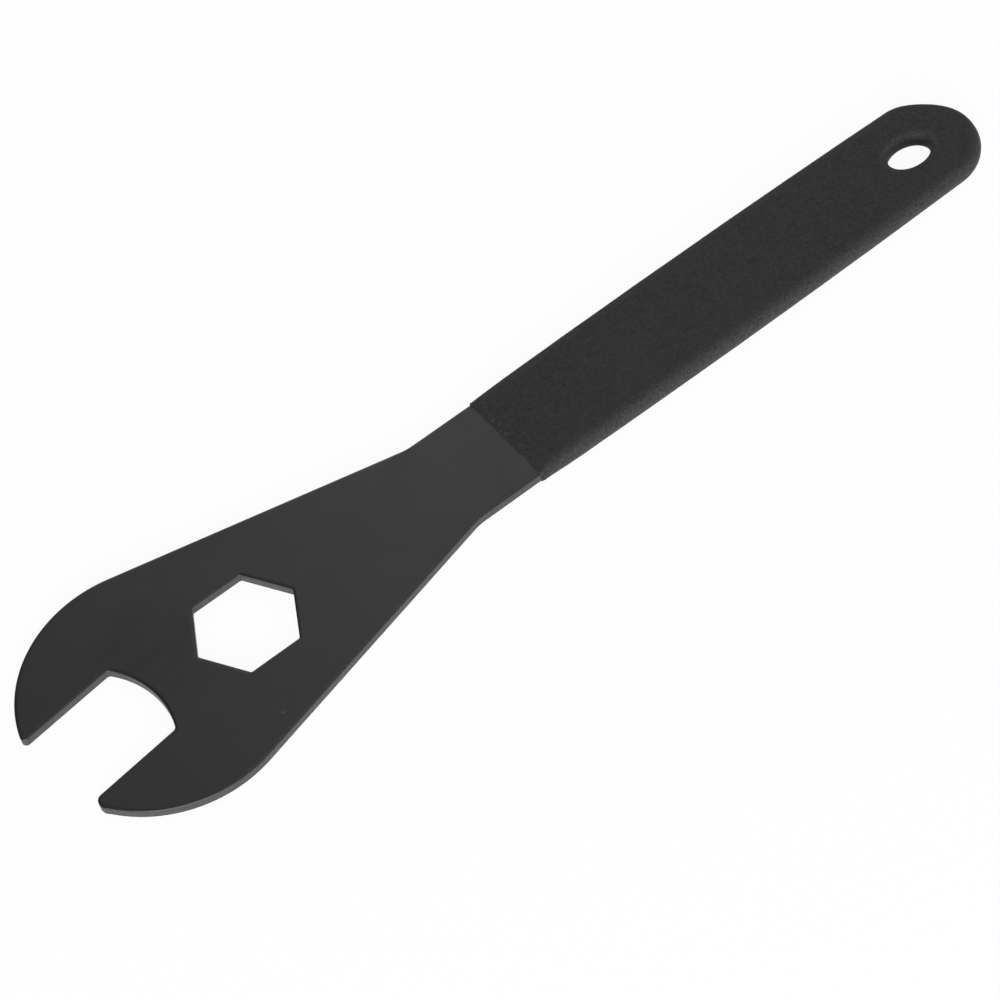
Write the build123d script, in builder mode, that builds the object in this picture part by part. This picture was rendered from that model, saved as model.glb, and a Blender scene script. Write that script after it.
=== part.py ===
from build123d import *

import os
from math import cos, hypot, radians, sin, sqrt, tan

# A cone wrench: a thin flat steel plate with an open jaw, a closed hexagon and a tang,
# and a soft vinyl grip that was dipped onto the tang. The wrench lies on its grip.
# +X runs from the jaw to the end of the handle, +Z up, origin under the middle of its length.

# Overall sizes, millimetres and degrees throughout
overall_length = 215.0
plate_thickness = 2.0
edge_break = 0.25

# Head and tang of the plate
head_radius = 25.15
flare_angle = 13.8
tang_width = 21.0
kink_round = 12.0
tang_end_coat = 1.1

# Open jaw, measured along its own centreline from the centre of the head
jaw_width = 18.0
jaw_angle = 6.8
throat_setback = 1.5
throat_radius = 17.6
throat_corner_round = 0.9
blunt_tip_width = 2.6
tip_round = 0.9

# Closed hexagon, across its flats
hexagon_width = 18.0
hexagon_setback = 18.8
hexagon_corner_round = 0.5

# Vinyl grip: a dipped coat that swells over the middle and thins towards its lip
grip_length = 113.9
coat_thickness = 1.1
lip_coat = 0.6
lip_ramp_length = 10.0
lip_bow = 0.7
lip_round = 0.5
side_coat_at_lip = 0.6
side_swell = 0.5
side_land = 0.2

# Hang hole through the tang: an oval along the handle, lined by the coat
hang_hole_length = 9.5
hang_hole_width = 6.4
hang_hole_from_end = 14.6
hang_hole_lining = 0.9
hang_rim_round = 1.6

# Reach of the longer prong: its rounded tip touches the head's circle and the jaw's wall
tip_side = jaw_width / 2 + tip_round
tip_along = sqrt((head_radius - tip_round) ** 2 - tip_side**2)
prong_reach = tip_along * cos(radians(jaw_angle)) + tip_side * sin(radians(jaw_angle)) + tip_round

# Reach of the shorter prong: there the steel between the jaw's wall and the head's circle
# has thinned to the width of the blunt tip
wall_slope = tan(radians(jaw_angle))
tip_level = blunt_tip_width + jaw_width / 2 / cos(radians(jaw_angle))
tip_root = sqrt((1 + wall_slope**2) * head_radius**2 - tip_level**2)
blunt_reach = (tip_root - wall_slope * tip_level) / (1 + wall_slope**2)

# Places along the wrench
head_x = prong_reach - overall_length / 2
hexagon_x = head_x + hexagon_setback
grip_end_x = overall_length / 2
grip_lip_x = grip_end_x - grip_length
hang_hole_x = grip_end_x - hang_hole_from_end
tang_end_x = grip_end_x - tang_end_coat

# Heights: the coat rests on the ground and the plate runs through its middle
plate_half = plate_thickness / 2
grip_half = plate_half + coat_thickness
lip_half = plate_half + lip_coat
middle_z = grip_half
middle_plane = Plane.XY.offset(middle_z)

# The flares leave the head tangent to it and meet the parallel tang at the kinks
tang_half = tang_width / 2
flare_start_x = head_x + head_radius * sin(radians(flare_angle))
flare_start_y = head_radius * cos(radians(flare_angle))
kink_x = head_x + (head_radius / cos(radians(flare_angle)) - tang_half) / tan(radians(flare_angle))

# Steel plate
with BuildPart() as wrench_plate:
    with BuildSketch(middle_plane) as blank:
        # Outline of the blank: round head, two flares, parallel tang with a round end
        with BuildLine():
            Line((flare_start_x, flare_start_y), (kink_x, tang_half))
            Line((kink_x, tang_half), (tang_end_x - tang_half, tang_half))
            ThreePointArc(
                (tang_end_x - tang_half, tang_half),
                (tang_end_x, 0),
                (tang_end_x - tang_half, -tang_half),
            )
            Line((tang_end_x - tang_half, -tang_half), (kink_x, -tang_half))
            Line((kink_x, -tang_half), (flare_start_x, -flare_start_y))
            ThreePointArc(
                (flare_start_x, -flare_start_y),
                (head_x - head_radius, 0),
                (flare_start_x, flare_start_y),
            )
        make_face()
        kinks = blank.vertices().group_by(Axis.X)[1]
        fillet(kinks, kink_round)

        # Mouth of the jaw, drawn along its own centreline and turned with it, and long
        # enough to run out past the head
        throat_centre = throat_setback + throat_radius
        throat_corner = throat_centre - sqrt(throat_radius**2 - (jaw_width / 2) ** 2)
        mouth_end = head_radius + jaw_width
        with BuildSketch(mode=Mode.PRIVATE) as mouth:
            with BuildLine():
                Line((mouth_end, jaw_width / 2), (throat_corner, jaw_width / 2))
                ThreePointArc(
                    (throat_corner, jaw_width / 2),
                    (throat_setback, 0),
                    (throat_corner, -jaw_width / 2),
                )
                Line((throat_corner, -jaw_width / 2), (mouth_end, -jaw_width / 2))
                Line((mouth_end, -jaw_width / 2), (mouth_end, jaw_width / 2))
            make_face()
            fillet(mouth.vertices().sort_by(Axis.X)[:2], throat_corner_round)
        with Locations(Location((head_x, 0, 0), (0, 0, 180 + jaw_angle))):
            add(mouth.sketch, mode=Mode.SUBTRACT)

        # The shorter prong ends in a blunt tip square to the handle, the longer one runs out to
        # a rounded point
        with Locations((head_x - blunt_reach, 0)):
            Rectangle(head_radius, 2 * head_radius, align=(Align.MAX, Align.MAX), mode=Mode.SUBTRACT)
        tip_corners = blank.vertices().sort_by(Axis.X)[:3]
        fillet(tip_corners, tip_round)

        # Hexagon with its flats along the handle
        with BuildSketch(mode=Mode.PRIVATE) as hexagon:
            RegularPolygon(hexagon_width / 2, 6, major_radius=False)
            fillet(hexagon.vertices(), hexagon_corner_round)
        with Locations((hexagon_x, 0)):
            add(hexagon.sketch, mode=Mode.SUBTRACT)

        # Hole that the coat lines
        lined_length = hang_hole_length + 2 * hang_hole_lining
        lined_width = hang_hole_width + 2 * hang_hole_lining
        with Locations((hang_hole_x, 0)):
            Ellipse(lined_length / 2, lined_width / 2, mode=Mode.SUBTRACT)
    extrude(amount=plate_half, both=True)

    # Every edge is broken, round both faces and in both openings of the head
    chamfer(wrench_plate.faces().filter_by(Axis.Z).edges(), edge_break)

# Plan of the grip: each side is one long arc that swells over its middle, and the round
# end is an arc that meets both sides tangent
side_at_lip = tang_half + side_coat_at_lip
side_at_middle = side_at_lip + side_swell
half_span = (grip_length - side_at_middle) / 2
swell_radius = (half_span**2 + side_swell**2) / (2 * side_swell)
swell_x = grip_lip_x + half_span
swell_drop = swell_radius - side_at_middle
reach_to_end = grip_end_x - swell_x
end_radius = (swell_radius**2 - swell_drop**2 - reach_to_end**2) / (2 * (swell_radius - reach_to_end))
end_x = grip_end_x - end_radius
centre_gap = hypot(end_x - swell_x, swell_drop)
tangent_x = swell_x + swell_radius * (end_x - swell_x) / centre_gap
tangent_y = swell_radius * swell_drop / centre_gap - swell_drop

# Vinyl grip
with BuildPart() as handle_grip:
    with BuildSketch(middle_plane) as plan:
        with BuildLine():
            ThreePointArc((grip_lip_x, -side_at_lip), (grip_lip_x + lip_bow, 0), (grip_lip_x, side_at_lip))
            ThreePointArc((grip_lip_x, side_at_lip), (swell_x, side_at_middle), (tangent_x, tangent_y))
            ThreePointArc((tangent_x, tangent_y), (grip_end_x, 0), (tangent_x, -tangent_y))
            ThreePointArc((tangent_x, -tangent_y), (swell_x, -side_at_middle), (grip_lip_x, -side_at_lip))
        make_face()
    extrude(amount=grip_half, both=True)

    # Side view: flat faces that fall away to the thin lip on one long arc each
    ramp_x = grip_lip_x + lip_ramp_length
    with BuildSketch(Plane.XZ) as side_view:
        with BuildLine():
            Line((grip_lip_x, middle_z - lip_half), (grip_lip_x, middle_z + lip_half))
            TangentArc(
                (ramp_x, middle_z + grip_half),
                (grip_lip_x, middle_z + lip_half),
                tangent=(-1, 0),
            )
            Line((ramp_x, middle_z + grip_half), (grip_end_x, middle_z + grip_half))
            Line((grip_end_x, middle_z + grip_half), (grip_end_x, middle_z - grip_half))
            Line((grip_end_x, middle_z - grip_half), (ramp_x, middle_z - grip_half))
            TangentArc(
                (ramp_x, middle_z - grip_half),
                (grip_lip_x, middle_z - lip_half),
                tangent=(-1, 0),
            )
        make_face()
    extrude(amount=2 * side_at_middle, both=True, mode=Mode.INTERSECT)

    # The coat is round over every edge of the tang, and its lip ends in a small bead
    lip_face = handle_grip.faces().sort_by(Axis.X)[0]
    ramp_lines = handle_grip.edges().filter_by(Axis.Y)
    uprights = handle_grip.edges().filter_by(Axis.Z)
    fillet(handle_grip.edges() - lip_face.edges() - ramp_lines - uprights, lip_half - side_land / 2)
    lip_face = handle_grip.faces().sort_by(Axis.X)[0]
    fillet(lip_face.edges(), lip_round)

    # Hang hole with soft rims
    with BuildSketch(middle_plane):
        with Locations((hang_hole_x, 0)):
            Ellipse(hang_hole_length / 2, hang_hole_width / 2)
    extrude(amount=grip_half, both=True, mode=Mode.SUBTRACT)
    rims = handle_grip.edges(Select.LAST).filter_by(GeomType.ELLIPSE)
    fillet(rims, hang_rim_round)

    # The cavity is the tang itself, because the coat is moulded onto it
    add(wrench_plate.part, mode=Mode.SUBTRACT)

wrench_plate.part.label = "wrench_plate"
handle_grip.part.label = "handle_grip"

os.makedirs("parts", exist_ok=True)
export_step(wrench_plate.part, "parts/wrench_plate.step")
export_step(handle_grip.part, "parts/handle_grip.step")
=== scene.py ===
# %% [markdown]
# # A cone wrench for bicycle wheels
#
# A cone wrench is a spanner stamped from thin plate, because the flats that it has to reach on a
# wheel's axle are only two or three millimetres wide. This one has an open jaw at the end of a round
# head, a closed hexagon behind it, and a tang that was dipped in soft vinyl to make the handle.
#
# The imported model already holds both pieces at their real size: the steel plate and the vinyl grip.
# Everything below dresses those two pieces. Nothing is moved and nothing is resized. The wrench lies on
# its grip, with its length along x, its width along y and its thickness along z.

import math

import bmesh
import bpy
from mathutils import Euler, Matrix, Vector, noise
from mathutils.bvhtree import BVHTree
from mathutils.geometry import delaunay_2d_cdt
from mathutils.kdtree import KDTree


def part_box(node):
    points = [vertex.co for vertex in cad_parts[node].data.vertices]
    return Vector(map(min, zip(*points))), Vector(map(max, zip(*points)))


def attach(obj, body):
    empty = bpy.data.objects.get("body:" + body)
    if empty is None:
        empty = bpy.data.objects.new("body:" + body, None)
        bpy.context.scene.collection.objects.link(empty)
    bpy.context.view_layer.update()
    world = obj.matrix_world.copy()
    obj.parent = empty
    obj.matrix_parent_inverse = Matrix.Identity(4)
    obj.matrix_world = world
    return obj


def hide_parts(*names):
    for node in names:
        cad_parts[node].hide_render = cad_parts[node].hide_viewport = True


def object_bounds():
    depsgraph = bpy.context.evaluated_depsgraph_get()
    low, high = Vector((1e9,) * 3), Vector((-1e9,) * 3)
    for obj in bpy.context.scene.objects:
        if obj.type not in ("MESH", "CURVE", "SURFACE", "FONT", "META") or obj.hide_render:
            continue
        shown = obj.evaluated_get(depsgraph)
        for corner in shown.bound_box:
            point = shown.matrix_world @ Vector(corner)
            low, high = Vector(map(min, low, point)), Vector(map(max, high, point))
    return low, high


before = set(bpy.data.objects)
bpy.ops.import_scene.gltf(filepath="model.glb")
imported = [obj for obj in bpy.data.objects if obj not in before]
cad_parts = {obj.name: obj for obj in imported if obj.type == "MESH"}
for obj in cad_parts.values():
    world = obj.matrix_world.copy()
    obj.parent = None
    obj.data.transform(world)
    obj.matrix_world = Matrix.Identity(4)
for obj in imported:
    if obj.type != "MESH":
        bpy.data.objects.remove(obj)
cad_low, cad_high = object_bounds()

# All sizes below are real ones, written in millimetres and turned into metres by this factor
MM = 0.001

plate_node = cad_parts["wrench_plate"]
grip_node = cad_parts["handle_grip"]
plate_low, plate_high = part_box("wrench_plate")
grip_low, grip_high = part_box("handle_grip")
print("plate", [round(side / MM, 1) for side in plate_high - plate_low], "mm")
print("grip", [round(side / MM, 1) for side in grip_high - grip_low], "mm")

# %% [markdown]
# ## The blank's outline
#
# A press cuts the blank out of a sheet in one blow, so one outline says nearly all about the plate:
# the head, the jaw, the flares and the tang, then the hexagon and the hole at the far end.
#
# It could be drawn again as a curve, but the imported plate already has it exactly. So the plate is cut
# with a level plane at half its height, and the cut is walked round, point by point. The cut also
# passes through the diagonals of the wall's triangles, and those points lie on straight lines, so they
# are dropped.

# %% Walk round the plate's cut
middle_height = (plate_low.z + plate_high.z) / 2
weld_distance = 0.001 * MM
least_turn = math.radians(0.5)


def drop_straight_points(points):
    """The loop without the points where it doesn't turn."""
    count = len(points)
    kept = []
    for i, point in enumerate(points):
        before = point - points[i - 1]
        after = points[(i + 1) % count] - point
        if abs(before.angle_signed(after)) > least_turn:
            kept.append(point)
    return kept


def cut_loops(node, height):
    """The closed lines in which a level plane cuts a piece, each as plan points in order."""
    mesh = bmesh.new()
    mesh.from_mesh(node.data)
    bmesh.ops.remove_doubles(mesh, verts=mesh.verts, dist=weld_distance)
    everything = mesh.verts[:] + mesh.edges[:] + mesh.faces[:]
    bmesh.ops.bisect_plane(
        mesh,
        geom=everything,
        plane_co=(0, 0, height),
        plane_no=(0, 0, 1),
        clear_inner=True,
        clear_outer=True,
    )
    bmesh.ops.remove_doubles(mesh, verts=mesh.verts, dist=weld_distance)
    loops = []
    seen = set()
    for first in mesh.verts:
        loop = []
        vertex = first
        while vertex not in seen:
            seen.add(vertex)
            loop.append(vertex.co.xy.copy())
            ahead = [edge.other_vert(vertex) for edge in vertex.link_edges]
            vertex = next((other for other in ahead if other not in seen), vertex)
        if len(loop) > 2:
            loops.append(drop_straight_points(loop))
    mesh.free()
    return loops


blank_loops = cut_loops(plate_node, middle_height)
print("loops of the blank:", [len(loop) for loop in blank_loops], "points")

# %% [markdown]
# ## Finer rounds
#
# The imported mesh keeps its rounds coarse. Its corners lie on the true line though, and each round was
# cut into equal steps. So wherever two sides next to each other are equally long, the circle through
# their three corners is the true round, and more points can be put on it. Straight sides are cut into
# short steps too, because the press leaves marks that change along the wall.
#
# Subdividing with smoothing would be quicker to write, but it pulls every corner inwards, and a jaw
# has to keep its width.

# %% Put more points on the loops
wall_step = 0.35 * MM
round_turn = math.radians(7)
equal_within = 0.01


def circle_centre(a, b, c):
    """The centre of the circle through three plan points."""
    p = b - a
    q = c - a
    twice_area = 2 * (p.x * q.y - p.y * q.x)
    across = q.y * p.length_squared - p.y * q.length_squared
    along = p.x * q.length_squared - q.x * p.length_squared
    return a + Vector((across, along)) / twice_area


def finer_loop(points):
    """The same loop with a point at least every step, and with smooth rounds."""
    count = len(points)
    sides = [(points[(i + 1) % count] - points[i]).length for i in range(count)]
    dense = []
    for i, start in enumerate(points):
        end = points[(i + 1) % count]
        centre = None
        if math.isclose(sides[i], sides[(i + 1) % count], rel_tol=equal_within):
            centre = circle_centre(start, end, points[(i + 2) % count])
        elif math.isclose(sides[i], sides[i - 1], rel_tol=equal_within):
            centre = circle_centre(points[i - 1], start, end)
        pieces = math.ceil(sides[i] / wall_step)
        if centre is None:
            dense += [start.lerp(end, k / pieces) for k in range(pieces)]
            continue
        spoke = start - centre
        turn = -spoke.angle_signed(end - centre)
        pieces = max(pieces, math.ceil(abs(turn) / round_turn))
        first_angle = math.atan2(spoke.y, spoke.x)
        for k in range(pieces):
            angle = first_angle + turn * k / pieces
            dense.append(centre + spoke.length * Vector((math.cos(angle), math.sin(angle))))
    return dense


def enclosed_area(points):
    """Positive for a loop that runs anticlockwise."""
    pairs = zip(points, points[1:] + points[:1])
    return sum(a.x * b.y - a.y * b.x for a, b in pairs) / 2


# The outline runs anticlockwise and the holes clockwise, so that steel is always on the left
blank_loops = [finer_loop(loop) for loop in blank_loops]
blank_loops.sort(key=lambda loop: abs(enclosed_area(loop)), reverse=True)
for number, loop in enumerate(blank_loops):
    if (enclosed_area(loop) > 0) != (number == 0):
        loop.reverse()
print("points after the rounds:", [len(loop) for loop in blank_loops])

# %% [markdown]
# ## A worn tip
#
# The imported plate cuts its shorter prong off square, with two small rounds. On a real wrench the short
# flat between them has worn into one soft curve. So the points of that flat are pushed out a little,
# most in the middle, which leaves the overall length alone, because the other prong is the longer one.

# %% Round the tip of the shorter prong
tip_bulge = 0.4 * MM
tip_reach = 1.7 * MM
flat_x = min(point.x for point in blank_loops[0] if point.y < 0)
flat = [point for point in blank_loops[0] if point.y < 0 and point.x < flat_x + weld_distance]
tip_y = sum(point.y for point in flat) / len(flat)
for point in blank_loops[0]:
    if point.x < flat_x + tip_reach and abs(point.y - tip_y) < tip_reach:
        point.x -= tip_bulge * (1 - ((point.y - tip_y) / tip_reach) ** 2) ** 2
print("the flat tip is", round(-tip_y / MM, 1), "mm off the middle")
print("it comes out by", round(tip_bulge / MM, 2), "mm")

# %% [markdown]
# ## Filling the flat faces
#
# Both pieces have large flat faces with holes in them. One big polygon would do for a flat colour, but
# it gives long thin triangles, and nothing on it can be raised or lowered. A Delaunay triangulation
# takes the loops and a regular grid of points between them, and joins them with triangles that are as
# even as they can be. Blender has one for plan points.

# %% Fill between loops with even triangles
clearance_share = 0.6
only_inside_outline = 1
least_distance = 1e-9


def inside_loop(point, loop):
    """Whether a plan point lies inside a closed loop, by counting crossings to its right."""
    crossings = 0
    for a, b in zip(loop, loop[1:] + loop[:1]):
        if (a.y > point.y) != (b.y > point.y):
            if point.x < a.x + (point.y - a.y) * (b.x - a.x) / (b.y - a.y):
                crossings += 1
    return crossings % 2 == 1


def grid_rows(loops, spacing, clearance):
    """Grid points inside the first loop and outside the others, with every other row set half a step
    along, so that the triangles between them come out nearly equal-sided."""
    low_y = min(p.y for p in loops[0])
    high_y = max(p.y for p in loops[0])
    found = []
    for row in range(math.ceil((high_y - low_y) / spacing)):
        y = low_y + (row + 0.5) * spacing
        spans = []
        for loop in loops:
            for a, b in zip(loop, loop[1:] + loop[:1]):
                if (a.y > y) != (b.y > y):
                    spans.append(a.x + (y - a.y) * (b.x - a.x) / (b.y - a.y))
        spans.sort()
        for start, end in zip(spans[::2], spans[1::2]):
            room = end - start - 2 * clearance
            if room > 0:
                steps = max(1, round(room / spacing))
                shift = 0.5 * (row % 2)
                for k in range(steps):
                    found.append(Vector((start + clearance + room * (k + shift) / steps, y)))
    return found


def nearest_loop_gap(tree, point):
    """How far a plan point lies from the nearest loop."""
    return tree.find((point.x, point.y, 0))[2]


def fill_plan(loops, spacing):
    """Plan points, with the loops' own points first, and the triangles between the loops."""
    corners = [point for loop in loops for point in loop]
    tree = KDTree(len(corners))
    for number, point in enumerate(corners):
        tree.insert((point.x, point.y, 0), number)
    tree.balance()
    clearance = clearance_share * spacing
    grid = grid_rows(loops, spacing, clearance)
    corners += [point for point in grid if nearest_loop_gap(tree, point) > clearance]
    edges = []
    start = 0
    for loop in loops:
        size = len(loop)
        edges += [(start + i, start + (i + 1) % size) for i in range(size)]
        start += size
    outline = list(range(len(loops[0])))
    filled = delaunay_2d_cdt(corners, edges, [outline], only_inside_outline, least_distance)
    points, _, triangles, sources, _, _ = filled
    kept = []
    for triangle in triangles:
        centre = (points[triangle[0]] + points[triangle[1]] + points[triangle[2]]) / 3
        if not any(inside_loop(centre, loop) for loop in loops[1:]):
            kept.append([sources[corner][0] for corner in triangle])
    return corners, kept


# %% [markdown]
# ## A lofted edge
#
# Seen closely, the edge of a stamped plate and the edge of a dipped coat have the same build: a line
# of points goes from the top face over the edge and down to the bottom face, and that line is repeated
# all the way round. So one helper makes rings of points into a surface, and both pieces use it.

# %% Turn rings of points into a surface
def add_rings(mesh, rings, band=None, band_values=()):
    """Joins closed rings of equal length by quads. Returns the rings' vertices."""
    made = []
    for number, ring in enumerate(rings):
        row = [mesh.verts.new(point) for point in ring]
        if band is not None:
            for vertex in row:
                vertex[band] = band_values[number]
        made.append(row)
    size = len(rings[0])
    for upper, lower in zip(made, made[1:]):
        for i in range(size):
            j = (i + 1) % size
            mesh.faces.new((upper[i], lower[i], lower[j], upper[j]))
    return made


def add_fill(mesh, rims, spacing, height, facing_up):
    """Fills the flat face between rims that are already in the mesh."""
    loops = [[vertex.co.xy.copy() for vertex in rim] for rim in rims]
    corners, triangles = fill_plan(loops, spacing)
    vertices = [vertex for rim in rims for vertex in rim]
    for point in corners[len(vertices):]:
        vertices.append(mesh.verts.new((point.x, point.y, height(point))))
    for triangle in triangles:
        picked = [vertices[corner] for corner in triangle]
        a, b, c = (vertex.co.xy for vertex in picked)
        turns_left = (b - a).cross(c - a) > 0
        if turns_left != facing_up:
            picked.reverse()
        mesh.faces.new(picked)


def new_piece(mesh, name):
    """A smooth-shaded object from a bmesh."""
    for face in mesh.faces:
        face.smooth = True
    data = bpy.data.meshes.new(name)
    mesh.to_mesh(data)
    mesh.free()
    piece = bpy.data.objects.new(name, data)
    bpy.context.scene.collection.objects.link(piece)
    return piece


# %% [markdown]
# ## How a punch leaves its edge
#
# A punch doesn't cut like a knife. First it pulls the sheet's face down with it, which rounds the edge
# that it enters: the die roll. Then it shears a band that comes out smooth and upright. Then the rest
# breaks away, rough and leaning in a little. On the far side a trace of burr has been tumbled off.
#
# Each of these is a few rows of the loft. A bevel modifier would give one even round instead, and no
# band could be told from another. The roll falls away ever faster towards the wall, and meets it at a
# crisp corner. Near a sharp tip there is no room for its full width, so it narrows there, and it narrows
# gradually on the way to the tip.

# %% Sizes of the punched edge
roll_width = 0.9 * MM
roll_depth = 0.17 * MM
roll_power = 4
roll_rows = 9
smooth_share = 0.45
wall_rows = 11
break_lean = 0.03 * MM
burr_round = 0.07 * MM
burr_rows = 4
room_in_round = 0.8
narrowing = 0.25
print("die roll:", round(roll_width / MM, 2), "mm wide and", round(roll_depth / MM, 2), "mm deep")


def loop_directions(points):
    """For each point, the direction that leads into the steel, and how sharply the loop turns."""
    count = len(points)
    inward = []
    bends = []
    for i in range(count):
        before = points[i] - points[i - 1]
        after = points[(i + 1) % count] - points[i]
        along = before.normalized() + after.normalized()
        inward.append(Vector((-along.y, along.x)).normalized())
        turn = -before.angle_signed(after)
        bends.append(2 * turn / (before.length + after.length))
    return inward, bends


def roll_widths(points, bends):
    """The die roll's width at each point: full, but no wider than an outward round leaves room for."""
    widths = [roll_width if bend <= 0 else min(roll_width, room_in_round / bend) for bend in bends]
    count = len(points)
    for order in (range(2 * count), range(2 * count, 0, -1)):
        last = None
        for k in order:
            i = k % count
            if last is not None:
                step = (points[i] - points[last]).length
                widths[i] = min(widths[i], widths[last] + narrowing * step)
            last = i
    return widths


# %% [markdown]
# ## Marks on the wall
#
# The smooth band carries fine upright lines, and the broken band is pitted. Sculpting them by hand would
# take a day. A noise that is read along the wall does it at once: it changes quickly along the wall and
# slowly down it, as the marks do, and it is the same in every run. The last of its three coordinates
# picks a slice of the noise, so each kind of mark has a pattern of its own.

# %% Marks that the punch leaves
score_depth = 0.012 * MM
score_size = 0.5 * MM
pit_depth = 0.035 * MM
pit_size = 0.35 * MM
pits_down_wall = 6
pit_slice = 9
slow_pit_size = 9 * pit_size
slow_pit_slice = 3
slow_share = 0.3
band_blend = 0.15


def wall_marks(point, depth_share):
    """How far the wall lies inside its true line, from 0 at the top of the wall to 1 at its foot."""
    broken = min(1, max(0, (depth_share - smooth_share) / band_blend))
    score = noise.noise((point.x / score_size, point.y / score_size, depth_share))
    place = pits_down_wall * depth_share + pit_slice
    pits = noise.noise((point.x / pit_size, point.y / pit_size, place))
    slow = noise.noise((point.x / slow_pit_size, point.y / slow_pit_size, slow_pit_slice))
    mixed = (1 - slow_share) * pits + slow_share * slow
    scored = score_depth * (1 + score) / 2
    pitted = break_lean * (depth_share - smooth_share) + pit_depth * (1 + mixed) / 2
    return scored + broken * pitted


deepest = max(wall_marks(point, 1) for loop in blank_loops for point in loop)
print("the foot of the wall lies at most", round(deepest / MM, 3), "mm back")

# %% [markdown]
# ## From the edge to the whole plate
#
# All three loops get the same edge, whether steel lies inside them or outside, because the direction
# into the steel was worked out point by point. Each row also notes how bare its metal is. That number
# stays on the mesh, and later the material reads it. Then the two flat faces close the plate.

# %% Loft the edge of one loop
plate_thickness = plate_high.z - plate_low.z
wall_height = plate_thickness - roll_depth - burr_round
print("the wall is", round(wall_height / MM, 2), "mm high in", round(plate_thickness / MM, 2), "mm plate")


def edge_rings(points):
    """The rings from the top face over the edge to the bottom face, and how bare each one is."""
    inward, bends = loop_directions(points)
    widths = roll_widths(points, bends)
    rings = []
    bare = []
    for row in range(roll_rows + 1):
        out = row / roll_rows
        height = plate_high.z - roll_depth * out**roll_power
        insets = [width * (1 - out) for width in widths]
        rings.append([(*(p + n * inset), height) for p, n, inset in zip(points, inward, insets)])
        bare.append(max(0, row - roll_rows + 1))
    for row in range(1, wall_rows + 1):
        share = row / wall_rows
        height = plate_high.z - roll_depth - wall_height * share
        rings.append([(*(p + n * wall_marks(p, share)), height) for p, n in zip(points, inward)])
        bare.append(1)
    for row in range(1, burr_rows + 1):
        angle = math.pi / 2 * row / burr_rows
        height = plate_low.z + burr_round * (1 - math.sin(angle))
        inset = burr_round * (1 - math.cos(angle))
        ring = [(*(p + n * (inset + wall_marks(p, 1))), height) for p, n in zip(points, inward)]
        rings.append(ring)
        bare.append(1 - row / burr_rows)
    return rings, bare


# %% Build the plate
face_spacing = 1.6 * MM
plate_mesh = bmesh.new()
bare_layer = plate_mesh.verts.layers.float.new("bare_wall")
top_rims = []
bottom_rims = []
for loop in blank_loops:
    rings, bare = edge_rings(loop)
    made = add_rings(plate_mesh, rings, bare_layer, bare)
    top_rims.append(made[0])
    bottom_rims.append(made[-1])
add_fill(plate_mesh, top_rims, face_spacing, lambda point: plate_high.z, facing_up=True)
add_fill(plate_mesh, bottom_rims, face_spacing, lambda point: plate_low.z, facing_up=False)

# A finer round reaches a hair past the coarse one that it replaces, so the real box is kept
for vertex in plate_mesh.verts:
    vertex.co.x = min(max(vertex.co.x, plate_low.x), plate_high.x)
    vertex.co.y = min(max(vertex.co.y, plate_low.y), plate_high.y)
open_edges = sum(not edge.is_manifold for edge in plate_mesh.edges)
plate = new_piece(plate_mesh, "stamped_plate")
print("plate:", len(plate.data.vertices), "vertices,", open_edges, "open edges")

# %% [markdown]
# ## The dipped grip
#
# The tang is dipped hot into liquid vinyl, which sets on it as a soft coat. So the coat is thick in
# the middle and thin at its lip, round over every edge, and never quite even.
#
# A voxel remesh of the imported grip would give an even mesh, but it would also keep that mesh's flat
# facets. The outline is simple enough to be drawn by a formula: a lip that bows back a little, two
# long sides that swell by half a millimetre, and a round end, which is a little flatter on the side away
# from the camera. The rings of the loft are the same outline, drawn smaller and smaller towards the flat
# faces.

# %% Sizes of the grip
grip_middle = (grip_low.z + grip_high.z) / 2
grip_half = (grip_high.z - grip_low.z) / 2
side_half = (grip_high.y - grip_low.y) / 2
grip_end = grip_high.x
grip_lip = grip_low.x
lip_half_height = 1.57 * MM
side_swell = 0.5 * MM
lip_bow = 0.35 * MM
lip_slant = 0.35 * MM
ramp_length = 10 * MM
side_round = 1.7 * MM
side_land = 0.1 * MM
lip_round = 0.5 * MM
hole_length = 9.25 * MM
hole_width = 6.2 * MM
hole_from_end = 14.6 * MM
hole_round = 1.8 * MM

# The long sides are arcs of a very large circle, and the round end is tangent to both
side_at_lip = side_half - side_swell
half_span = (grip_end - grip_lip - side_half) / 2
swell_radius = (half_span**2 + side_swell**2) / (2 * side_swell)
swell_x = grip_lip + half_span
swell_drop = swell_radius - side_half
reach = grip_end - swell_x
end_radius = (swell_radius**2 - swell_drop**2 - reach**2) / (2 * (swell_radius - reach))
end_centre = grip_end - end_radius
meeting_angle = math.atan2(swell_drop, end_centre - swell_x)
meeting_x = end_centre + end_radius * math.cos(meeting_angle)
print("radius of the sides", round(swell_radius / MM), "mm, of the end", round(end_radius / MM, 1), "mm")

# %% Draw the grip's outline at any inset
grip_step = 0.4 * MM
end_count = round(2 * meeting_angle * end_radius / grip_step)
side_count = round((meeting_x - grip_lip) / grip_step)
corner_count = 8
lip_count = round(2 * side_at_lip / grip_step)
end_flat = 0.6 * MM
lip_wave = 0.2 * MM
lip_wave_size = 2.6 * MM
lip_wave_slice = (4.2, 0.7)
lip_wave_fade = 0.8
lip_wave_octaves = 4
each_octave_finer = 2.0
print("points along a side", side_count, "round the end", end_count, "and along the lip", lip_count)


def lip_line(y, inset):
    """Where the lip is at a place across the tang: a little aslant, bowed back and uneven."""
    across = y / side_at_lip
    bow = lip_bow * (1 - across**2) + lip_slant * across
    place = (y / lip_wave_size, *lip_wave_slice)
    wave = noise.fractal(place, lip_wave_fade, each_octave_finer, lip_wave_octaves)
    return grip_lip + inset + bow + lip_wave * wave


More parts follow.
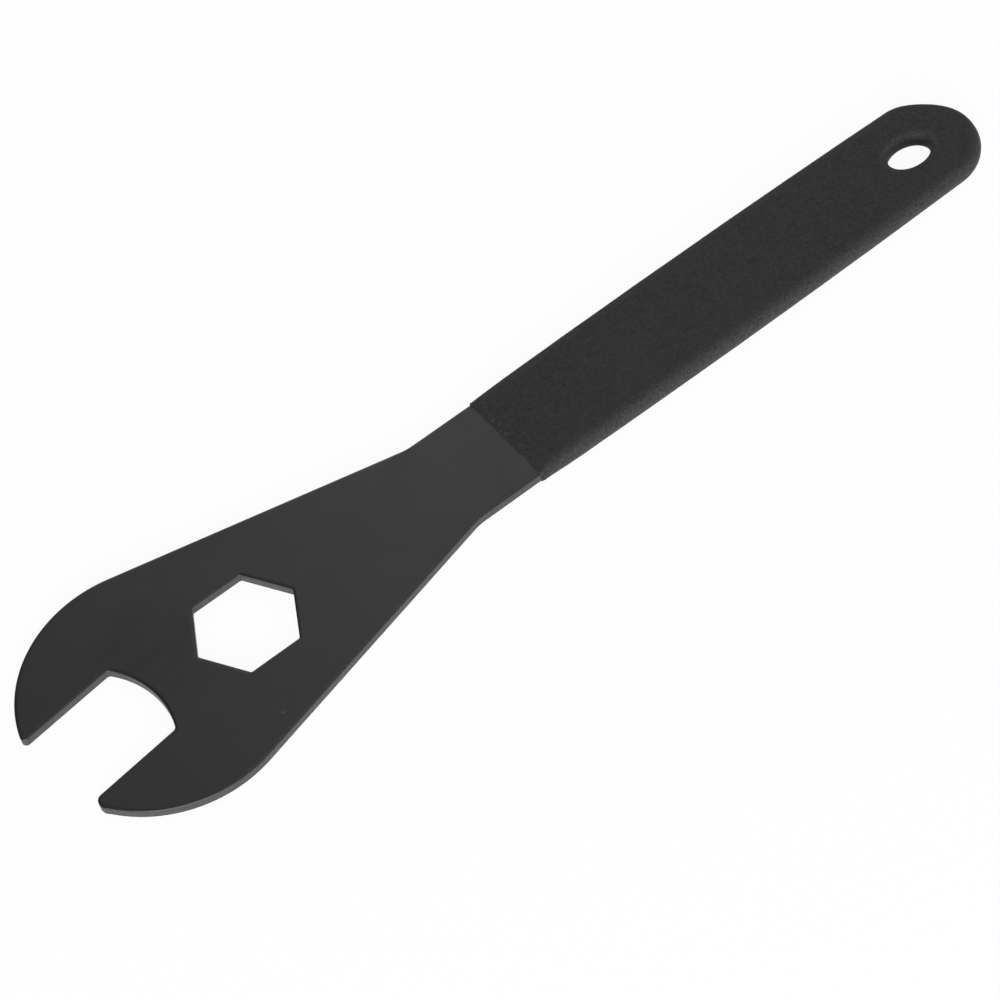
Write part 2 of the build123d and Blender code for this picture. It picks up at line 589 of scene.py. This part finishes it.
def side_line(x, inset):
    """Half the grip's width at a place along it."""
    return math.sqrt((swell_radius - inset) ** 2 - (x - swell_x) ** 2) - swell_drop


def grip_outline(side_inset, lip_inset, corner):
    """The outline, anticlockwise, with an inset taken off its sides and another off its lip. Each
    point comes with its share of the lip: 0 on the sides, 1 on the lip."""
    outline = []
    for k in range(end_count):
        angle = meeting_angle * (2 * k / end_count - 1)
        radius = end_radius - side_inset - end_flat * math.sin(2 * max(0, angle)) ** 2
        outline.append((end_centre + radius * math.cos(angle), radius * math.sin(angle), 0))
    join_y = side_line(grip_lip + lip_inset + corner, side_inset) - corner
    join_x = lip_line(join_y, lip_inset) + corner
    start_x = end_centre + (end_radius - side_inset) * math.cos(meeting_angle)
    run = [start_x + (join_x - start_x) * k / side_count for k in range(side_count + 1)]
    for x in run:
        outline.append((x, side_line(x, side_inset), 0))
    turns = [math.pi / 2 * k / corner_count for k in range(1, corner_count)]
    for turn in turns:
        x = join_x - corner * math.sin(turn)
        y = join_y + corner * math.cos(turn)
        outline.append((x, y, math.sin(turn) ** 2))
    for k in range(lip_count + 1):
        y = join_y * (1 - 2 * k / lip_count)
        outline.append((lip_line(y, lip_inset), y, 1))
    for turn in turns:
        x = join_x - corner * math.cos(turn)
        y = -join_y - corner * math.sin(turn)
        outline.append((x, y, math.cos(turn) ** 2))
    for x in reversed(run[1:]):
        outline.append((x, -side_line(x, side_inset), 0))
    return outline


# %% [markdown]
# The coat's flat faces fall away towards the lip on a long arc, so a point's height depends on how far
# along the grip it is. The rounds then take their part off that height: a large one along the sides,
# where the coat wraps the tang, and a small one along the lip, which ends in a bead.

# %% Find the coat's height anywhere
ramp_end = grip_lip + ramp_length
ramp_drop = grip_half - lip_half_height
ramp_radius = (ramp_length**2 + ramp_drop**2) / (2 * ramp_drop)


def coat_height(x):
    """Half the coat's thickness at a place along it."""
    before = max(0, ramp_end - x)
    return grip_half - ramp_radius + math.sqrt(ramp_radius**2 - before**2)


for x in (grip_lip, grip_lip + ramp_length / 2, ramp_end):
    past_lip = round((x - grip_lip) / MM)
    print(past_lip, "mm past the lip the coat is", round(2 * coat_height(x) / MM, 2), "mm high")

# %% Make the rings round the grip and through its hole
round_rows = 8
land_rows = 2
least_corner = 0.1 * MM


def mirrored_rows(upper):
    """Rows of a round and its land above the middle, followed by the same rows below it."""
    lower = [[(x, y, 2 * grip_middle - z) for x, y, z in row] for row in reversed(upper)]
    land = []
    for k in range(1, land_rows):
        share = k / land_rows
        pairs = zip(upper[-1], lower[0])
        land.append([tuple(a + (b - a) * share for a, b in zip(top, foot)) for top, foot in pairs])
    return upper + land + lower


def side_rings():
    """Rings from the top face round the coat's outer edge to the bottom face."""
    upper = []
    for row in range(round_rows + 1):
        angle = math.pi / 2 * (1 - row / round_rows)
        share = 1 - math.cos(angle)
        corner = lip_round + (least_corner - lip_round) * share
        ring = []
        for x, y, lip in grip_outline(side_round * share, lip_round * share, corner):
            full_round = coat_height(x) - side_land
            drop = full_round + (lip_round - full_round) * lip
            ring.append((x, y, grip_middle + coat_height(x) - drop * (1 - math.sin(angle))))
        upper.append(ring)
    return mirrored_rows(upper)


def hole_rings():
    """Rings from the top face through the hang hole to the bottom face."""
    count = round(math.pi * (hole_length + hole_width) / 2 / grip_step)
    centre_x = grip_end - hole_from_end
    upper = []
    for row in range(round_rows + 1):
        angle = math.pi / 2 * (1 - row / round_rows)
        outset = hole_round * (1 - math.cos(angle))
        height = grip_middle + grip_half - hole_round * (1 - math.sin(angle))
        along = hole_length / 2 + outset
        across = hole_width / 2 + outset
        ring = []
        for k in range(count):
            around = -2 * math.pi * k / count
            ring.append((centre_x + along * math.cos(around), across * math.sin(around), height))
        upper.append(ring)
    return mirrored_rows(upper)


# %% [markdown]
# ## From the rings to the whole grip
#
# The outside and the hole are two lofts, and the flat faces between them are filled with a fine grid, so
# that they can be pressed uneven later. The rows of the hole note how deep they lie, so that the
# material can paint shade into the middle of it, where hardly any light reaches. The skin is closed at
# the lip too: there it runs through the steel, where nobody sees it.

# %% Build the grip
grip_face_spacing = 0.45 * MM
darkness_power = 10
grip_mesh = bmesh.new()
wear_and_light_layer = grip_mesh.verts.layers.float.new("wear_and_light")
hole_shade_layer = grip_mesh.verts.layers.float.new("hole_shade_share")
top_rims = []
bottom_rims = []


def top_height(point):
    """The coat's upper face at a plan point."""
    return grip_middle + coat_height(point.x)


def bottom_height(point):
    """The coat's lower face at a plan point."""
    return grip_middle - coat_height(point.x)


through = hole_rings()
steps_down = len(through) - 1
# How much painted shade each row of the hole gets, most at half its depth
depths = [math.sin(math.pi * row / steps_down) ** darkness_power for row in range(len(through))]
for rings, layer, values in ((side_rings(), None, ()), (through, hole_shade_layer, depths)):
    made = add_rings(grip_mesh, rings, layer, values)
    top_rims.append(made[0])
    bottom_rims.append(made[-1])
add_fill(grip_mesh, top_rims, grip_face_spacing, top_height, facing_up=True)
add_fill(grip_mesh, bottom_rims, grip_face_spacing, bottom_height, facing_up=False)
print("grip:", len(grip_mesh.verts), "vertices")

# %% [markdown]
# ## Where the coat is lighter: wear and painted light
#
# Hands wear the black off a grip along its sides, most where the coat bulges out and hardly at all
# underneath, and the same lighter grey also paints the light that the rounded sides catch. A peg wears
# the round of the hang hole, and that lighter ring also paints the light on the round. All of it fades
# out over the last two millimetres before the lip, where a few light flecks are painted as highlights
# on the lip's rough bead.
#
# This lightening could be painted on by hand. Here it follows from the shape instead: each point of
# the mesh works out how near the side, the hole and the lip it lies, and the material reads that number
# later.

# %% Write the wear and the painted light onto the mesh
wear_and_light_width = 2.6 * MM
lip_fade_length = 2 * MM
rim_wear_and_light = 0.8
rim_wear_and_light_width = 0.75 * MM
glint_reach = 0.8 * MM
glint_size = 0.9 * MM
glint_slice = 7.7
glint_contrast = 6


def gap_to_side(x, y):
    """How far a place lies inside the grip's outline, its lip left out."""
    if x < meeting_x:
        return side_line(x, 0) - abs(y)
    return end_radius - math.hypot(x - end_centre, y)


def gap_to_hole(x, y):
    """About how far a place lies outside the hang hole."""
    share = math.hypot((x - grip_end + hole_from_end) / (hole_length / 2), y / (hole_width / 2))
    return (share - 1) * hole_width / 2


# How much lighter each point is: wear, and painted light, along the sides and round the hole
for vertex in grip_mesh.verts:
    x, y, z = vertex.co
    past_lip = x - lip_line(y, 0)
    underneath = max(0, grip_middle - z) / grip_half
    beside = 1 - gap_to_side(x, y) / wear_and_light_width
    round_hole = rim_wear_and_light * (1 - abs(gap_to_hole(x, y) / rim_wear_and_light_width - 1))
    wear_and_light = max(0, beside, round_hole) * (1 - underneath)
    wear_and_light *= min(1, max(0, past_lip) / lip_fade_length)
    # Painted highlights: light flecks along the lip's bead
    if past_lip < glint_reach:
        glint = noise.noise((y / glint_size, z / glint_size, glint_slice))
        wear_and_light = max(wear_and_light, glint_contrast * glint - 1)
    vertex[wear_and_light_layer] = min(1, wear_and_light)
# Counts the points lightened by more than half, by wear and painted light
worn_and_lit_points = sum(vertex[wear_and_light_layer] > 0.5 for vertex in grip_mesh.verts)
print("points that are worn by more than half:", worn_and_lit_points)

# %% [markdown]
# ## The uneven skin of the coat
#
# Vinyl that sets on cold steel keeps a soft, slightly lumpy skin. Two sizes of noise make it: slow
# waves of a few millimetres, and a fine mottle just above what the eye can separate. They only push
# the surface inwards, so the grip never grows out of its real size. What is finer than the mesh is
# left to the material.

# %% Press the mottle into the coat
wave_size = 6 * MM
wave_depth = 0.05 * MM
mottle_size = 1.1 * MM
mottle_depth = 0.035 * MM
grip_mesh.normal_update()
presses = []
for vertex in grip_mesh.verts:
    wave = noise.noise(vertex.co / wave_size)
    mottle = noise.noise(vertex.co / mottle_size)
    press = wave_depth * (1 + wave) / 2 + mottle_depth * (1 + mottle) / 2
    presses.append(vertex.normal * press)
for vertex, press in zip(grip_mesh.verts, presses):
    vertex.co -= press
open_edges = sum(not edge.is_manifold for edge in grip_mesh.edges)
grip = new_piece(grip_mesh, "dipped_grip")
print("grip:", len(grip.data.polygons), "faces,", open_edges, "open edges")

# %% [markdown]
# ## How far the skins lie from the solids
#
# The two skins were drawn anew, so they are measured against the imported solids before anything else.
# Each point looks for the nearest spot on its solid. The plate's largest gap is at the worn tip. The
# grip's is inside the steel, where its closed lip is out of sight, and all of it that can be seen lies
# much nearer.

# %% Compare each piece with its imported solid
def widest_gap(piece, node):
    """The furthest that a piece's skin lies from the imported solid's."""
    packed = BVHTree.FromObject(node, bpy.context.evaluated_depsgraph_get())
    gaps = [packed.find_nearest(vertex.co)[3] for vertex in piece.data.vertices]
    return max(gaps) / MM


print("plate leaves its solid by at most", round(widest_gap(plate, plate_node), 3), "mm")
print("grip leaves its solid by at most", round(widest_gap(grip, grip_node), 3), "mm")

# %% [markdown]
# ## Materials
#
# A material here is a small network: noises in real millimetres drive the colour, the roughness and a
# bump. These helpers keep the networks short. The coordinates are the object's own, in metres, so a
# noise of scale 1000 has features about a millimetre across, whichever way the piece is turned.

# %% Start a material and its noises
def new_material(name):
    """A material with its Principled shader and its coordinates."""
    material = bpy.data.materials.new(name)
    material.use_nodes = True
    tree = material.node_tree
    shader = tree.nodes["Principled BSDF"]
    place = tree.nodes.new("ShaderNodeTexCoord").outputs["Object"]
    return material, tree, shader, place


def noise_field(tree, place, size, detail=2.0, rough=0.5, stretch=None):
    """Noise with features of a given size, perhaps stretched along an axis."""
    if stretch is not None:
        mapping = tree.nodes.new("ShaderNodeMapping")
        mapping.inputs["Scale"].default_value = stretch
        tree.links.new(place, mapping.inputs["Vector"])
        place = mapping.outputs["Vector"]
    field = tree.nodes.new("ShaderNodeTexNoise")
    field.inputs["Scale"].default_value = 1 / size
    field.inputs["Detail"].default_value = detail
    field.inputs["Roughness"].default_value = rough
    tree.links.new(place, field.inputs["Vector"])
    return field.outputs["Fac"]


# %% Turn values into colours and other values
def grey(level):
    """A neutral colour that sends back a given share of the light."""
    return (level, level, level, 1)


def ramp(tree, value, low, low_level, high, high_level):
    """A grey that goes from one level to another between two values."""
    node = tree.nodes.new("ShaderNodeValToRGB")
    first, last = node.color_ramp.elements
    first.position = low
    first.color = grey(low_level)
    last.position = high
    last.color = grey(high_level)
    tree.links.new(value, node.inputs["Fac"])
    return node.outputs["Color"]


def spread(tree, value, low, high, to_low, to_high):
    """A value carried from one range to another."""
    node = tree.nodes.new("ShaderNodeMapRange")
    node.inputs["From Min"].default_value = low
    node.inputs["From Max"].default_value = high
    node.inputs["To Min"].default_value = to_low
    node.inputs["To Max"].default_value = to_high
    tree.links.new(value, node.inputs["Value"])
    return node.outputs["Result"]


def mix_colours(tree, share, first, second):
    """Two colours mixed, where the share and the colours may be fixed or fields."""
    node = tree.nodes.new("ShaderNodeMix")
    node.data_type = "RGBA"
    sockets = (node.inputs[0], node.inputs[6], node.inputs[7])
    for value, socket in zip((share, first, second), sockets):
        if isinstance(value, bpy.types.NodeSocket):
            tree.links.new(value, socket)
        else:
            socket.default_value = value
    return node.outputs[2]


# %% Read, join and shape values
def carried(tree, name):
    """A number that the points of the mesh carry."""
    node = tree.nodes.new("ShaderNodeAttribute")
    node.attribute_name = name
    return node.outputs["Fac"]


def combine(tree, way, first, second):
    """Arithmetic on two values, either of which may be a number."""
    node = tree.nodes.new("ShaderNodeMath")
    node.operation = way
    for value, socket in zip((first, second), node.inputs):
        if isinstance(value, bpy.types.NodeSocket):
            tree.links.new(value, socket)
        else:
            socket.default_value = value
    return node.outputs["Value"]


def bump(tree, height, depth, under=None):
    """A bump of a real depth, perhaps on top of another."""
    node = tree.nodes.new("ShaderNodeBump")
    node.inputs["Distance"].default_value = depth
    tree.links.new(height, node.inputs["Height"])
    if under is not None:
        tree.links.new(under, node.inputs["Normal"])
    return node.outputs["Normal"]


def cell_spots(tree, place, spacing, size):
    """Small spots scattered at random, 1 in their middle and 0 outside."""
    cells = tree.nodes.new("ShaderNodeTexVoronoi")
    cells.inputs["Scale"].default_value = 1 / spacing
    tree.links.new(place, cells.inputs["Vector"])
    return spread(tree, cells.outputs["Distance"], 0, size / spacing, 1, 0)


# %% [markdown]
# ## Blackened steel
#
# The plate has the dark satin finish of blackened tool steel: nearly even, with clouds that can only
# just be seen, a few nibs, and patches that hands have polished. Between the jaw and the hexagon are
# faint dark streaks along the handle, where oily fingers wiped it. The cut walls took the finish less
# well, so they are greyer and show the punch's upright lines. One material does both, because it is
# one finish on one piece: the rows of the wall carry a value, and the material mixes by it.
#
# The streaks are a noise stretched along the handle, and a second value keeps them in their place: how
# far a point lies from the middle of the steel between the two openings.

# %% Keep the wipe marks in their place
wiped_place = Vector((-81, 6, 3)) * MM
wiped_reach = 14 * MM
streak_size = 4.5 * MM
streak_squeeze = 0.3


def wipe_marks(tree, place):
    """Streaks along the handle, strongest between the jaw and the hexagon."""
    streaks = noise_field(tree, place, streak_size, detail=4, stretch=(streak_squeeze, 1, 1))
    distance = tree.nodes.new("ShaderNodeVectorMath")
    distance.operation = "DISTANCE"
    distance.inputs[1].default_value = wiped_place
    tree.links.new(place, distance.inputs[0])
    near = spread(tree, distance.outputs["Value"], wiped_reach / 3, wiped_reach, 1, 0)
    return combine(tree, "MULTIPLY", near, spread(tree, streaks, 0.46, 0.62, 0.4, 1))


# %% Make the finish of the steel
polished_steel = grey(0.009)
bright_grain = grey(0.011)
oily_steel = grey(0.0002)
nib_grey = grey(0.08)


def blackened_steel():
    """Satin black on the faces, greyer and scored on the walls."""
    material, tree, shader, place = new_material("blackened_steel")
    clouds = noise_field(tree, place, 22 * MM, detail=3)
    patches = noise_field(tree, place, 9 * MM, detail=4, rough=0.6)
    grain = noise_field(tree, place, 0.28 * MM, detail=3, rough=0.6)
    lines = noise_field(tree, place, 0.4 * MM, detail=3, rough=0.6, stretch=(1, 1, 0.15))
    specks = cell_spots(tree, place, 6 * MM, 0.4 * MM)
    nibs = combine(tree, "MULTIPLY", specks, spread(tree, patches, 0.5, 0.6, 0, 1))
    wipes = wipe_marks(tree, place)

    face = ramp(tree, clouds, low=0.3, low_level=0.0052, high=0.7, high_level=0.0062)
    face = mix_colours(tree, spread(tree, patches, 0.45, 0.75, 0, 0.5), face, polished_steel)
    face = mix_colours(tree, wipes, face, oily_steel)
    face = mix_colours(tree, spread(tree, grain, 0.3, 0.8, 0, 0.3), face, bright_grain)
    face = mix_colours(tree, nibs, face, nib_grey)
    wall = ramp(tree, lines, low=0.25, low_level=0.016, high=0.75, high_level=0.038)
    colour = mix_colours(tree, carried(tree, "bare_wall"), face, wall)
    tree.links.new(colour, shader.inputs["Base Color"])

    rough = spread(tree, patches, 0.3, 0.75, 0.5, 0.4)
    rough = combine(tree, "ADD", rough, spread(tree, grain, 0, 1, -0.05, 0.05))
    rough = combine(tree, "ADD", rough, spread(tree, wipes, 0, 1, 0, 0.08))
    tree.links.new(rough, shader.inputs["Roughness"])
    normal = bump(tree, grain, 0.004 * MM)
    normal = bump(tree, nibs, 0.02 * MM, under=normal)
    tree.links.new(normal, shader.inputs["Normal"])
    shader.inputs["Specular IOR Level"].default_value = 0.55
    return material


plate.data.materials.append(blackened_steel())
print("the steel's finish has", len(plate.data.materials[0].node_tree.nodes), "nodes")
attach(plate, "root")
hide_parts("wrench_plate")

# %% [markdown]
# ## Soft vinyl
#
# The coat is a matt black vinyl. Close up it is mottled and a little fuzzy, with specks of lint held
# on its skin. It scatters light widely, so it is rough, and a trace of sheen stands for the fuzz that
# brightens where the surface turns away. Along the sides a lighter grey shows through in grains, as far
# as the mesh's number says: it is partly wear and partly painted light on the rounded sides and the
# hole's round, and near the lip it is painted highlights. Deep in the hang hole the colour is painted
# darker, as painted shade where hardly any light reaches.

# %% Make the finish of the vinyl
clouded_vinyl = grey(0.019)
fuzzy_vinyl = grey(0.031)
# Lighter grey for wear, and also painted light on the rounded sides and the hole's round, and painted
# highlights at the lip
worn_and_lit_vinyl = grey(0.041)
lint_grey = grey(0.07)
# Near black as painted shade deep in the hang hole, where little light reaches
hole_shade_grey = grey(0.002)


def dipped_vinyl():
    """Mottled matt black, lighter along the sides from wear and painted light, with painted shade in the
    hole.
    """
    material, tree, shader, place = new_material("dipped_vinyl")
    clouds = noise_field(tree, place, 14 * MM, detail=3)
    mottle = noise_field(tree, place, 0.75 * MM, detail=4, rough=0.7)
    fuzz = noise_field(tree, place, 0.5 * MM, detail=3, rough=0.7)
    lint = cell_spots(tree, place, 2.6 * MM, 0.22 * MM)

    colour = ramp(tree, mottle, low=0.3, low_level=0.008, high=0.7, high_level=0.02)
    colour = mix_colours(tree, spread(tree, clouds, 0.35, 0.7, 0, 0.4), colour, clouded_vinyl)
    colour = mix_colours(tree, spread(tree, fuzz, 0.45, 0.8, 0, 0.6), colour, fuzzy_vinyl)
    colour = mix_colours(tree, combine(tree, "MULTIPLY", lint, 0.3), colour, lint_grey)
    # Wear and painted light along the sides and round the hole, and painted highlights at the lip
    grains = spread(tree, fuzz, 0.38, 0.62, 0.2, 1)
    worn_and_lit = combine(tree, "MULTIPLY", carried(tree, "wear_and_light"), grains)
    colour = mix_colours(tree, worn_and_lit, colour, worn_and_lit_vinyl)
    # Painted shade deep in the hang hole
    colour = mix_colours(tree, carried(tree, "hole_shade_share"), colour, hole_shade_grey)
    tree.links.new(colour, shader.inputs["Base Color"])

    tree.links.new(spread(tree, mottle, 0.3, 0.7, 0.72, 0.6), shader.inputs["Roughness"])
    normal = bump(tree, mottle, 0.05 * MM)
    normal = bump(tree, fuzz, 0.045 * MM, under=normal)
    tree.links.new(normal, shader.inputs["Normal"])
    shader.inputs["Specular IOR Level"].default_value = 0.13
    shader.inputs["Sheen Weight"].default_value = 0.06
    shader.inputs["Sheen Roughness"].default_value = 0.6
    return material


grip.data.materials.append(dipped_vinyl())
print("the vinyl's finish has", len(grip.data.materials[0].node_tree.nodes), "nodes")
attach(grip, "root")
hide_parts("handle_grip")

# %% [markdown]
# ## The floor
#
# The wrench lies on a white card. The card's own shading would turn out as a pale grey, so to the camera
# and to anything glossy it mostly glows at full white, and the small rest of its shading keeps the
# wrench's faint shadow. The light that it throws back onto the walls comes from its shading alone.

# %% Lay the floor
floor_size = 12.0
card_white = 0.9
white_share = 0.94


def white_card():
    """White card that the camera, and anything glossy, sees as white with only a faint shadow on it."""
    material, tree, shader, _ = new_material("white_card")
    shader.inputs["Base Color"].default_value = grey(card_white)
    shader.inputs["Roughness"].default_value = 0.9
    shader.inputs["Specular IOR Level"].default_value = 0.1
    glow = tree.nodes.new("ShaderNodeEmission")
    glow.inputs["Color"].default_value = grey(1)
    glow.inputs["Strength"].default_value = 1
    path = tree.nodes.new("ShaderNodeLightPath")
    seen = combine(tree, "MAXIMUM", path.outputs["Is Camera Ray"], path.outputs["Is Glossy Ray"])
    seen = combine(tree, "MAXIMUM", seen, path.outputs["Is Transmission Ray"])
    blend = tree.nodes.new("ShaderNodeMixShader")
    tree.links.new(combine(tree, "MULTIPLY", seen, white_share), blend.inputs["Fac"])
    tree.links.new(shader.outputs["BSDF"], blend.inputs[1])
    tree.links.new(glow.outputs["Emission"], blend.inputs[2])
    tree.links.new(blend.outputs["Shader"], tree.nodes["Material Output"].inputs["Surface"])
    return material


bpy.ops.mesh.primitive_plane_add(size=floor_size, location=(0, 0, cad_low.z))
floor = bpy.context.object
floor.name = "floor"
floor.data.materials.append(white_card())
print("the floor is", floor_size, "m square and touches the underside of the grip")

# %% [markdown]
# ## The light
#
# A dark satin tool shows little colour of its own. What the camera sees on it is mostly a blurred
# reflection, so each part of the picture tells where the lamps stood. The level faces mirror a place
# behind the wrench, half way up: one lamp stands there and another hangs above, and the faces come out
# as even greys between the two. The walls that look at the camera are much lighter than the faces, so
# the strongest lamp stands low in front on the left, with a weaker one on the right. The edges that
# mirror the back left stay nearly black, so no lamp is there and the surroundings are dim.
#
# Four soft square lamps do this. One picture of a studio wrapped round the scene would do it too, but a
# lamp can be moved and dimmed by itself. Each is placed by the direction that it shines from, and its
# power follows from its size, so that a larger lamp is softer without being stronger to look at.

# %% Light it softly
surround_level = 0.08
world = bpy.data.worlds.new("soft_surroundings")
bpy.context.scene.world = world
world.use_nodes = True
background = world.node_tree.nodes["Background"]
background.inputs["Color"].default_value = grey(1)
background.inputs["Strength"].default_value = surround_level
lamp_distance = 1.2


def soft_lamp(name, azimuth, elevation, size, level):
    """A square soft lamp that shines on the middle of the wrench, as bright as its level says."""
    data = bpy.data.lights.new(name, "AREA")
    data.size = size
    data.energy = math.pi * size**2 * level
    place = Vector((lamp_distance, 0, 0))
    place.rotate(Euler((0, -math.radians(elevation), math.radians(azimuth))))
    lamp = bpy.data.objects.new(name, data)
    lamp.location = place
    lamp.rotation_euler = (-place).to_track_quat("-Z", "Y").to_euler()
    bpy.context.scene.collection.objects.link(lamp)
    return lamp


lamps = [
    soft_lamp("lamp_behind", azimuth=56, elevation=33, size=0.85, level=1.62),
    soft_lamp("lamp_above", azimuth=8, elevation=70, size=0.65, level=1.8),
    soft_lamp("lamp_at_front_left", azimuth=-127, elevation=24, size=0.9, level=9.4),
    soft_lamp("lamp_at_front_right", azimuth=-35, elevation=24, size=0.6, level=2.2),
]
for lamp in lamps:
    print(lamp.name, "at", [round(c, 2) for c in lamp.location], "m,", round(lamp.data.energy, 1), "W")

# %% [markdown]
# ## The camera
#
# The photograph was taken from in front and to the left of the jaw, looking down, with the camera turned
# a little about its own line of sight. The hexagon gave this away: its flats are equal and lie at equal
# angles on the real wrench, so their lengths and angles in the photograph tell where the camera was. It
# stood about half a metre away, so the near end of the wrench comes out about an eighth larger than the
# far one.

# %% Set up the camera
image_side = 1000
focal_length_in_pixels = 3000
sensor_width = 36
camera_place = Vector((-177.68, -281.63, 431.16)) * MM
camera_target = Vector((-15.06, -9.30, 2.10)) * MM
camera_roll = math.radians(-9.86)
camera_data = bpy.data.cameras.new("camera")
camera_data.sensor_width = sensor_width
camera_data.lens = focal_length_in_pixels / image_side * sensor_width
camera = bpy.data.objects.new("camera", camera_data)
camera.location = camera_place
aim = (camera_target - camera_place).to_track_quat("-Z", "Y")
camera.rotation_mode = "QUATERNION"
camera.rotation_quaternion = aim @ Euler((0, 0, camera_roll)).to_quaternion()
bpy.context.scene.collection.objects.link(camera)
bpy.context.scene.camera = camera
bpy.context.view_layer.update()
print("camera looks", [round(c, 4) for c in camera.matrix_world.to_3x3() @ Vector((0, 0, -1))])
print("camera right", [round(c, 4) for c in camera.matrix_world.to_3x3() @ Vector((1, 0, 0))])

# %% [markdown]
# ## Colours
#
# The Standard view shows colours as they were worked out, without a film's contrast. The box round the
# dressed wrench may be a hair smaller than the box of the solids, because the coat was only ever
# pressed inwards, but never larger.

# %% Keep the colours as written
bpy.context.scene.view_settings.view_transform = "Standard"
